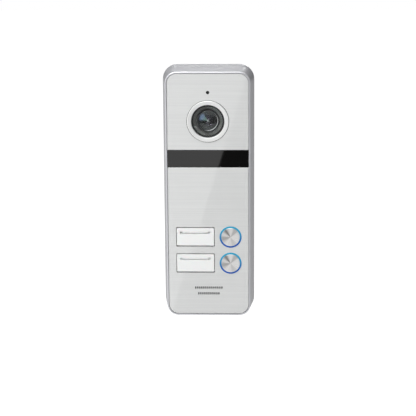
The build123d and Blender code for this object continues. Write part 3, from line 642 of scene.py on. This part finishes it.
class STATION_OT_camera_unit(bpy.types.Operator):
    """Finish the camera and add its window mask, retaining ring and inner lens elements"""

    bl_idname = "station.camera_unit"
    bl_label = "Camera unit"

    # Middle and half width of the painted reflection on the front glass and of the retaining ring's
    # painted glint, as bearings clockwise from the top.
    painted_reflection_wedge = (math.radians(-60.0), math.radians(36.0))
    painted_glint = (math.radians(128.0), math.radians(80.0))
    painted_highlight_tip = (0.22, 0.22, 0.22, 1.0)

    # Name of each inner element, then how far its front and its back lie behind the front
    # element at the rim, and how far each of them bulges.
    element_radius = 4.1 * MM
    inner_elements = (
        ("lens_second_element", 0.7 * MM, 2.0 * MM, 0.5 * MM, 0.3 * MM),
        ("lens_third_element", 4.2 * MM, 5.2 * MM, 0.35 * MM, 0.1 * MM),
    )

    def execute(self, context):
        settings = finish_settings()
        self.add_window_mask()
        self.add_inner_elements()
        bezel = turned_finish(
            "Satin Chrome Bezel", settings.bezel, roughness=0.42, middle=LENS, pitch=0.3 * MM,
            depth=0.001 * MM, rings=0.05, metallic=0.35, coat_weight=0.3, coat_roughness=0.15,
        )
        dress(bezel, "camera_bezel_ring")
        dress(self.window_glass(), "camera_window")
        front = self.coated_glass("Coated Front Glass", (0.85, 0.92, 0.9))
        # The front glass gets a painted reflection and a painted highlight through its emission.
        self.add_painted_reflection(front)
        dress(front, "lens_front_glass")
        inner = self.coated_glass("Coated Inner Glass", (0.7, 0.6, 0.85))
        dress(inner, "lens_second_element", "lens_third_element")
        shroud = turned_finish(
            "Ribbed Grey Shroud", (0.19, 0.192, 0.186), roughness=0.5, middle=LENS, pitch=0.5 * MM,
            depth=0.03 * MM, rings=0.3,
        )
        dress(shroud, "lens_shroud")
        anodised = turned_finish(
            "Dark Anodised Barrel", (0.07, 0.07, 0.072), roughness=0.4, middle=LENS,
            pitch=0.25 * MM, depth=0.004 * MM, rings=0.1, metallic=0.3,
        )
        dress(anodised, "lens_barrel", "lens_lock_ring")
        self.add_retaining_ring()
        satin = turned_finish(
            "Satin Retaining Ring", (0.85, 0.85, 0.855), roughness=0.35, middle=LENS,
            pitch=0.2 * MM, depth=0.002 * MM, rings=0.1, metallic=0.5,
        )
        # The ring's bright crescent is a painted glint, and the rest of it is painted shade.
        self.paint_glint_and_shade(satin)
        dress(satin, "lens_retaining_ring")
        dress(plain("Matt Black Optics"), "lens_holder", "window_mask", "lens_aperture_plate")
        # The black camera_bezel_seal fills the gap round the bezel, and its black also stands in
        # for the shadow in that gap.
        seals = ("camera_bezel_seal", "camera_window_seal", "rear_cover_seal")
        dress(plain("Black Seal Rubber"), *seals)
        dress(self.coated_glass("Infrared Cut Filter", (0.9, 0.3, 0.35)), "ir_cut_filter")
        dress(plain("Sensor Cover Glass"), "image_sensor")
        return {"FINISHED"}

    def add_retaining_ring(self):
        """Thin ring on the barrel's lip, whose bevel slopes in towards the front element."""
        play, gap, land, edge = 0.1 * MM, 0.02 * MM, 0.1 * MM, 0.04 * MM
        slope_width, crest_height, slope_foot = 0.36 * MM, 0.15 * MM, 0.45 * MM
        bore = half_size("lens_front_glass").x + play
        lip = front_of("lens_barrel")
        rim, crest, foot = bore + slope_width, lip - crest_height, lip + slope_foot
        profile = [
            (bore, foot), (rim, crest), (rim + land, crest), (rim + land, lip - gap),
            (rim + 0.6 * land, lip - gap), (bore, foot + edge),
        ]
        turned_piece("lens_retaining_ring", profile, LENS, smooth=False)

    def add_window_mask(self):
        """Black ring that is printed on the back of the window."""
        play, gap, thickness = 0.05 * MM, 0.02 * MM, 0.08 * MM
        outer = half_size("camera_window").x - play
        inner = outer - piece_settings().mask_width
        near = back_of("camera_window") + gap
        far = near + thickness
        profile = [(inner, near), (outer, near), (outer, far), (inner, far)]
        turned_piece("window_mask", profile, LENS, smooth=False)

    def add_inner_elements(self):
        """Two lens elements behind the front one, and the aperture plate between them."""
        start = back_of("lens_front_glass")
        bore, hole = self.element_radius, 1.3 * MM
        for name, front, back, front_bulge, back_bulge in self.inner_elements:
            profile = lens_profile(bore, start + front, start + back, front_bulge, back_bulge)
            turned_piece(name, profile, LENS)
        rim_front, rim_back = start + 2.9 * MM, start + 3.3 * MM
        hole_front, hole_back = start + 3.5 * MM, start + 3.6 * MM
        profile = [(hole, hole_front), (bore, rim_front), (bore, rim_back), (hole, hole_back)]
        turned_piece("lens_aperture_plate", profile, LENS)

    def window_glass(self):
        """Clear window with faint smudges."""
        material, wiring, shader = new_material(
            "Clear Window Glass", base_color=(0.96, 0.98, 0.98), roughness=0.02, ior=1.12,
            transmission_weight=1.0,
        )
        uneven_gloss(wiring, shader, scale=320.0, detail=4.0, clean=0.01, hazy=0.05)
        return material

    def coated_glass(self, name, tint):
        """Optical glass, whose gloss takes the coating's colour."""
        material, wiring, shader = new_material(
            name, base_color=(0.9, 0.9, 0.9), roughness=0.01, ior=1.6, transmission_weight=1.0,
            specular_tint=tuple(tint),
        )
        uneven_gloss(wiring, shader, scale=400.0, detail=3.0, clean=0.005, hazy=0.03)
        return material

    def about_lens(self, wiring, bearing, spread):
        """Radius from the lens axis, and a mask of the wedge about a bearing."""
        radius, angle = wiring.polar(object_position(wiring, LENS))
        facing = wiring.math("COSINE", wiring.math("SUBTRACT", angle, bearing))
        return radius, wiring.remap(facing, math.cos(spread), 1.0, kind="SMOOTHSTEP")

    def paint_glint_and_shade(self, material):
        """Paints shade on the ring outside a crescent, which stays bright as a painted glint."""
        full_from, painted_shade_level, painted_glint_level = 0.6, 0.2, 1.1
        wiring, shader = shader_of(material)
        painted_light_wedge = self.about_lens(wiring, *self.painted_glint)[1]
        bright = shader.inputs["Base Color"].links[0].from_socket
        tint = wiring.shade(bright, wiring.remap(painted_light_wedge, 0.0, full_from, painted_shade_level, painted_glint_level))
        wiring.feed(shader.inputs["Base Color"], tint)

    def add_painted_reflection(self, material):
        """A faint painted reflection in coating colours, green to violet-blue, with a painted white
        highlight at its tip.
        """
        settings = finish_settings()
        wiring, shader = shader_of(material)
        radius, painted_light_wedge = self.about_lens(wiring, *self.painted_reflection_wedge)
        rim = half_size("lens_front_glass").x
        fade_from, tip_edge, tip_middle = 0.8 * rim, 0.09 * rim, 0.03 * rim
        near_rim = wiring.remap(radius, rim, fade_from, kind="SMOOTHSTEP")
        reach = wiring.remap(radius, 0.0, fade_from)
        tint = wiring.mix(reach, (*settings.painted_reflection_middle, 1.0), (*settings.painted_reflection_rim, 1.0))
        strength = wiring.times(painted_light_wedge, near_rim)
        painted_highlight_mask = wiring.remap(radius, tip_edge, tip_middle, kind="SMOOTHSTEP")
        glow = wiring.mix(painted_highlight_mask, wiring.shade(tint, strength), self.painted_highlight_tip)
        wiring.feed(shader.inputs["Emission Color"], glow)
        shader.inputs["Emission Strength"].default_value = 1.0


class STATION_OT_call_buttons(bpy.types.Operator):
    """Finish the call buttons and model their silicone domes"""

    bl_idname = "station.call_buttons"
    bl_label = "Call buttons"

    def execute(self, context):
        settings = finish_settings()
        silicone = grained(
            "Milky Silicone", (0.62, 0.62, 0.6), roughness=0.5, grain=0.6 * MM, variation=0.1,
            depth=0.005 * MM, subsurface_weight=0.4, subsurface_scale=0.001,
        )
        acetal, carbon = plain("White Acetal"), plain("Carbon Rubber")
        for number in ROWS:
            middle = centre(f"button_cap_{number}")
            # Each cap's colour carries a painted sheen fan of painted highlights and shade wedges.
            cap = turned_finish(
                f"Turned Cap {number}", settings.cap, roughness=0.4, middle=middle,
                pitch=settings.ring_pitch, depth=0.002 * MM, painted_sheen_fan=0.88, rings=0.26, metallic=0.5,
            )
            dress(cap, f"button_cap_{number}")
            dress(self.halo_light(number, middle), f"button_halo_{number}")
            dress(acetal, f"button_plunger_{number}")
            dress(carbon, f"button_pill_{number}")
            self.add_dome(number)
            dress(silicone, f"silicone_dome_{number}")
        return {"FINISHED"}

    def halo_light(self, number, middle):
        """Lit diffuser with painted light and shade, paler at its top, and a little unevenness."""
        cloud_scale, thin, thick, dimmest, brightest, body_share = 900.0, 0.3, 0.7, 0.92, 1.08, 0.3
        settings = finish_settings()
        material, wiring, shader = new_material(
            f"Halo Light {number}", roughness=0.35, emission_strength=1.0, specular_ior_level=0.2,
        )
        position = object_position(wiring, middle)
        # Painted light and shade: the glow is paler towards the top.
        height = wiring.add("ShaderNodeSeparateXYZ", {0: position}).outputs[2]
        reach = half_size(f"button_cap_{number}").z
        rise = wiring.remap(height, -reach, reach, kind="SMOOTHSTEP")
        glow = wiring.mix(rise, (*settings.halo_painted_shaded_bottom, 1.0), (*settings.halo_painted_lit_top, 1.0))
        cloud = wiring.noise(position, cloud_scale, 2.0)
        glow = wiring.shade(glow, wiring.remap(cloud, thin, thick, dimmest, brightest))
        wiring.feed(shader.inputs["Emission Color"], glow)
        wiring.feed(shader.inputs["Base Color"], wiring.shade(glow, body_share))
        return material

    def add_dome(self, number):
        """Thin-walled silicone dome: a flat flange, a sloping wall and a crown with a bore."""
        node = f"button_dome_{number}"
        wall = piece_settings().dome_wall
        top, base, foot = front_of(node), back_of(node), half_size(node).x
        crown, bore, crown_edge = 3.7 * MM, 2.6 * MM, 0.65 * MM
        flange, knee, rise = foot - 2.1 * MM, foot - 3.2 * MM, 0.5 * MM
        outside = [
            (foot, base), (foot, base - wall), (flange, base - wall),
            (knee, base - wall - rise), (crown, top + crown_edge), (crown, top),
        ]
        inside = [
            (bore, top), (bore, top + wall), (crown - 0.5 * MM, top + wall + 0.1 * MM),
            (knee - 0.2 * MM, base - rise), (flange - 0.7 * MM, base),
        ]
        middle = centre(node)
        dome = turned_piece(f"silicone_dome_{number}", outside + inside, middle)
        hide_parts(node)
        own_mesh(dome)


class STATION_OT_name_plates(bpy.types.Operator):
    """Finish the name plate covers, cards and light boxes"""

    bl_idname = "station.name_plates"
    bl_label = "Name plates"

    def execute(self, context):
        settings = finish_settings()
        frosted = grained(
            "Frosted Acrylic", settings.cover, roughness=0.35, grain=0.5 * MM, variation=0.03,
            depth=0.001 * MM, subsurface_weight=0.05, subsurface_scale=0.0006, coat_weight=0.2,
            coat_roughness=0.08,
        )
        card, tray = plain("Blank Card"), plain("White Light Box")
        for number in ROWS:
            dress(frosted, f"nameplate_cover_{number}")
            dress(card, f"name_card_{number}")
            dress(tray, f"nameplate_light_box_{number}")
        return {"FINISHED"}


class STATION_OT_sound(bpy.types.Operator):
    """Finish the microphone and the loudspeaker"""

    bl_idname = "station.sound"
    bl_label = "Sound"

    def execute(self, context):
        dress(self.woven_steel(), "speaker_mesh")
        dress(plain("Black Silicone Boot"), "microphone_boot")
        can = brushed(
            "Pressed Can", (0.7, 0.7, 0.7), roughness=0.3, pitch=0.3 * MM, contrast=0.1,
            depth=0.002 * MM, metallic=1.0,
        )
        dress(can, "microphone_capsule", "board_capacitors")
        dress(plain("Black Enamel"), "speaker_basket")
        cone = turned_finish(
            "Treated Paper Cone", (0.03, 0.03, 0.032), roughness=0.8, middle=centre("speaker_cone"),
            pitch=0.6 * MM, depth=0.05 * MM, rings=0.4,
        )
        dress(cone, "speaker_cone")
        nickel = turned_finish(
            "Nickel Magnet", (0.72, 0.7, 0.66), roughness=0.22, middle=centre("speaker_magnet"),
            pitch=0.4 * MM, depth=0.001 * MM, metallic=1.0,
        )
        dress(nickel, "speaker_magnet")
        return {"FINISHED"}

    def woven_steel(self):
        """Dark wire cloth behind the slots, with painted shade in its holes."""
        material, wiring, shader = new_material("Woven Steel Mesh", roughness=0.4, metallic=0.8)
        pitch, depth = 0.3 * MM, 0.03 * MM
        wire, hole = (0.15, 0.15, 0.15, 1.0), (0.003, 0.003, 0.003, 1.0)
        position = object_position(wiring)
        weave = place_group(wiring, "woven", {"Position": position, "Pitch": pitch})
        # The holes are coloured near-black as painted shade for the dark space behind the mesh.
        wiring.feed(shader.inputs["Base Color"], wiring.mix(weave["Hole"], wire, hole))
        add_bump(wiring, shader, weave["Height"], depth)
        return material


class STATION_OT_boards(bpy.types.Operator):
    """Finish the circuit boards and add their small parts"""

    bl_idname = "station.boards"
    bl_label = "Boards"

    def execute(self, context):
        settings = finish_settings()
        dress(self.laminate(settings.board), "main_board", "camera_board", "night_vision_board")
        self.add_small_parts()
        dress(plain("Moulded Epoxy"), "board_chips", "small_chip_parts")
        lamp = grained(
            "Lamp Package", (0.8, 0.78, 0.6), roughness=0.3, grain=0.2 * MM, variation=0.1,
            depth=0.001 * MM, emission_color=(1.0, 0.97, 0.9), emission_strength=0.4,
        )
        dress(lamp, "backlight_leds")
        resin = grained(
            "Water-clear Resin", (0.62, 0.62, 0.66), roughness=0.08, grain=1.0 * MM, variation=0.1,
            depth=0.0005 * MM, coat_weight=0.6,
        )
        dress(resin, "night_vision_leds")
        dress(plain("Photocell"), "light_sensor")
        dress(plain("Blue Thermoplastic"), "volume_trimmer_body")
        dress(plain("White Rotor"), "volume_trimmer_rotor")
        dress(plain("Natural Nylon"), "cable_socket")
        pins = brushed(
            "Tinned Brass", (0.78, 0.72, 0.5), roughness=0.25, pitch=0.1 * MM, contrast=0.1,
            depth=0.001 * MM, metallic=1.0,
        )
        dress(pins, "cable_socket_pins")
        dress(plain("Bright Zinc"), "internal_screws", "speaker_clamp")
        return {"FINISHED"}

    def laminate(self, tint):
        """Board with tracks under its solder mask."""
        copper, track_pitch, track_height = (0.75, 0.62, 0.35), 3.2 * MM, 0.02 * MM
        finish = {"coat_weight": 0.3, "coat_roughness": 0.15}
        material, wiring, shader = new_material("Green Laminate", **finish)
        surface = place_group(wiring, "board", {
            "Position": object_position(wiring), "Mask": tuple(tint), "Copper": copper,
            "Pitch": track_pitch,
        })
        apply_surface(wiring, shader, surface, track_height)
        return material

    def add_small_parts(self):
        """Rows of resistors and capacitors on the wall side of the main board."""
        columns, rows, column_pitch, row_pitch = 5, 4, 2.6 * MM, 2.2 * MM
        first_x, first_z = -7.0 * MM, -49.0 * MM
        long, thick, bevel = piece_settings().chip_length, 0.5 * MM, 0.06 * MM
        y = back_of("main_board") + thick / 2
        mesh_data = bmesh.new()
        for column in range(columns):
            for row in range(rows):
                place = (first_x + column_pitch * column, y, first_z - row_pitch * row)
                upright = (column + row) % 3 == 0
                size = (long / 2, thick, long) if upright else (long, thick, long / 2)
                add_box(mesh_data, place, size, bevel)
        finish_piece("small_chip_parts", mesh_data, smooth=False)


class STATION_OT_back(bpy.types.Operator):
    """Finish the rear cover, the wall bracket and their screws"""

    bl_idname = "station.back"
    bl_label = "Back"

    def execute(self, context):
        dress(plain("Black Moulding"), "rear_cover")
        zinc_sheet = brushed(
            "Zinc-plated Sheet", (0.34, 0.35, 0.36), roughness=0.5, pitch=0.5 * MM, contrast=0.3,
            depth=0.003 * MM, turn=(0.0, math.pi / 2, 0.0), metallic=0.6,
        )
        dress(zinc_sheet, "wall_bracket")
        dress(plain("Zinc Screws"), "rear_cover_screws")
        dress(plain("Stainless Screw"), "security_screw")
        return {"FINISHED"}


# ---- operator: stage ----
class STATION_OT_stage(bpy.types.Operator):
    """Set the floor, the lights, the reflected card and the camera"""

    bl_idname = "station.stage"
    bl_label = "Stage"

    # Camera place in metres, and the directions it looks and leans.
    camera_place = Vector((0.0389, FACE_Y - 1.0675, 0.2533))
    camera_pitch = math.radians(13.806)
    camera_turn = math.radians(2.1)
    camera_lean = math.radians(-0.39)
    sensor_width = 36.0
    # Brightness of the backdrop and the floor where surfaces mirror them.
    mirrored_world, mirrored_floor = 0.07, 0.25
    floor_centre, floor_half_side = 4.0, 6.4
    # Name, place and side of each square light, and the setting that holds its power.
    lights = (
        ("key_light", (-0.9, -1.5, 1.5), 1.0, "key_power"),
        ("top_light", (0.0, -0.25, 1.5), 0.9, "top_power"),
        ("left_light", (-1.5, -0.5, 0.1), 1.8, "left_power"),
        ("right_light", (1.5, -0.5, 0.1), 1.8, "right_power"),
        ("rear_light", (0.0, 1.6, 0.15), 0.5, "rear_power"),
    )
    # Y of the card, and where on the face its mirror image has the ends of its slanting edge
    # and its left side.
    card_y = -1.5
    edge_low, edge_high, card_left = (-0.0318, -0.103), (0.0331, 0.103), -0.045

    def execute(self, context):
        self.set_world(context.scene)
        self.add_floor()
        self.add_lights()
        self.add_card()
        self.add_camera(context.scene)
        context.scene.view_settings.view_transform = "Standard"
        return {"FINISHED"}

    def set_world(self, scene):
        """White where the camera sees it, and dim where surfaces mirror it."""
        world = bpy.data.worlds.new("Studio")
        world.use_nodes = True
        wiring = Wiring(world.node_tree)
        backdrop = world.node_tree.nodes["Background"]
        dim = wiring.add("ShaderNodeBackground", {"Strength": self.mirrored_world})
        dim.inputs["Color"].default_value = (1, 1, 1, 1)
        backdrop.inputs["Color"].default_value = (1, 1, 1, 1)
        backdrop.inputs["Strength"].default_value = 1.0
        seen = wiring.add("ShaderNodeLightPath").outputs["Is Camera Ray"]
        both = {0: seen, 1: dim.outputs[0], 2: backdrop.outputs[0]}
        mixed = wiring.add("ShaderNodeMixShader", both)
        wiring.feed(world.node_tree.nodes["World Output"].inputs[0], mixed.outputs[0])
        scene.world = world

    def add_floor(self):
        """A pale floor, glowing so that the camera sees it as white as the backdrop."""
        middle = Matrix.Translation((0.0, self.floor_centre, -stage_settings().floor_drop))
        mesh_data = bmesh.new()
        bmesh.ops.create_grid(
            mesh_data, x_segments=1, y_segments=1, size=self.floor_half_side, matrix=middle
        )
        floor = link_mesh("floor", mesh_data)
        material, wiring, shader = new_material("Pale Floor", roughness=0.9)
        faint = wiring.noise(object_position(wiring), 3.0, 2.0)
        tint = wiring.mix(faint, (0.86, 0.86, 0.86, 1.0), (0.9, 0.9, 0.9, 1.0))
        wiring.feed(shader.inputs["Base Color"], tint)
        shader.inputs["Emission Color"].default_value = (1.0, 1.0, 1.0, 1.0)
        seen = wiring.add("ShaderNodeLightPath").outputs["Is Camera Ray"]
        glow = wiring.remap(seen, 0.0, 1.0, self.mirrored_floor, 1.0)
        wiring.feed(shader.inputs["Emission Strength"], glow)
        floor.data.materials.append(material)

    def add_lights(self):
        """Soft square lights that all look at the station's middle."""
        for name, place, size, setting in self.lights:
            data = bpy.data.lights.new(name, "AREA")
            data.shape = "SQUARE"
            data.size = size
            data.energy = getattr(stage_settings(), setting)
            lamp = bpy.data.objects.new(name, data)
            lamp.location = place
            lamp.rotation_euler = (-Vector(place)).to_track_quat("-Z", "Y").to_euler()
            lamp.visible_camera = False
            bpy.context.scene.collection.objects.link(lamp)

    def mirrored(self, x, z):
        """Where the card must be for the face to mirror it at (x, z) into the camera."""
        point = Vector((x, FACE_Y, z))
        image = self.camera_place.copy()
        image.y = 2 * FACE_Y - image.y
        way = point - image
        return point + way * ((self.card_y - FACE_Y) / way.y)

    def add_card(self):
        """A white card whose slanting edge shows as the edge of the sheen on the face."""
        low, high, left = self.edge_low, self.edge_high, self.card_left
        mesh_data = bmesh.new()
        mesh_data.faces.new([
            mesh_data.verts.new(self.mirrored(x, z))
            for x, z in (low, high, (left, high[1]), (left, low[1]))
        ])
        card = link_mesh("reflected_card", mesh_data)
        lit = new_material(
            "Lit Card", roughness=1.0, base_color=(0.0, 0.0, 0.0), specular_ior_level=0.0,
            emission_color=(1.0, 1.0, 1.0), emission_strength=stage_settings().card_strength,
        )[0]
        card.data.materials.append(lit)

    def add_camera(self, scene):
        """The camera, a little above the station and in front of it."""
        data = bpy.data.cameras.new("camera")
        data.sensor_width = self.sensor_width
        data.lens = stage_settings().focal_length
        camera = bpy.data.objects.new("camera", data)
        pitch, turn = self.camera_pitch, self.camera_turn
        forward = Vector((
            -math.sin(turn) * math.cos(pitch), math.cos(turn) * math.cos(pitch), -math.sin(pitch)
        ))
        right = forward.cross(Vector((0.0, 0.0, 1.0))).normalized()
        right = Matrix.Rotation(-self.camera_lean, 3, forward) @ right
        axes = Matrix((right, right.cross(forward), -forward)).transposed().to_4x4()
        camera.matrix_world = Matrix.Translation(self.camera_place) @ axes
        scene.collection.objects.link(camera)
        scene.camera = camera


class STATION_PT_panel(bpy.types.Panel):
    """Door station tools"""

    bl_idname = "STATION_PT_panel"
    bl_label = "Door Station"
    bl_space_type = "VIEW_3D"
    bl_region_type = "UI"
    bl_category = "Station"

    def draw(self, context):
        for operator in OPERATORS:
            self.layout.operator(operator.bl_idname)
        for name in SETTINGS:
            settings = getattr(context.scene, name)
            box = self.layout.box()
            for key in settings.bl_rna.properties.keys():
                if key not in {"rna_type", "name"}:
                    box.prop(settings, key)


OPERATORS = (
    STATION_OT_housing, STATION_OT_face, STATION_OT_camera_unit, STATION_OT_call_buttons,
    STATION_OT_name_plates, STATION_OT_sound, STATION_OT_boards, STATION_OT_back, STATION_OT_stage,
)
SETTINGS = {
    "station_finish": StationFinishSettings,
    "station_pieces": StationPieceSettings,
    "station_stage": StationStageSettings,
}


def register():
    for name, settings in SETTINGS.items():
        bpy.utils.register_class(settings)
        setattr(bpy.types.Scene, name, PointerProperty(type=settings))
    for cls in (*OPERATORS, STATION_PT_panel):
        bpy.utils.register_class(cls)


def unregister():
    for cls in (STATION_PT_panel, *reversed(OPERATORS)):
        bpy.utils.unregister_class(cls)
    for name, settings in SETTINGS.items():
        delattr(bpy.types.Scene, name)
        bpy.utils.unregister_class(settings)


def main():
    """Makes everything in order."""
    register()
    for operator in OPERATORS:
        family, action = operator.bl_idname.split(".")
        getattr(getattr(bpy.ops, family), action)()


if __name__ == "__main__":
    main()
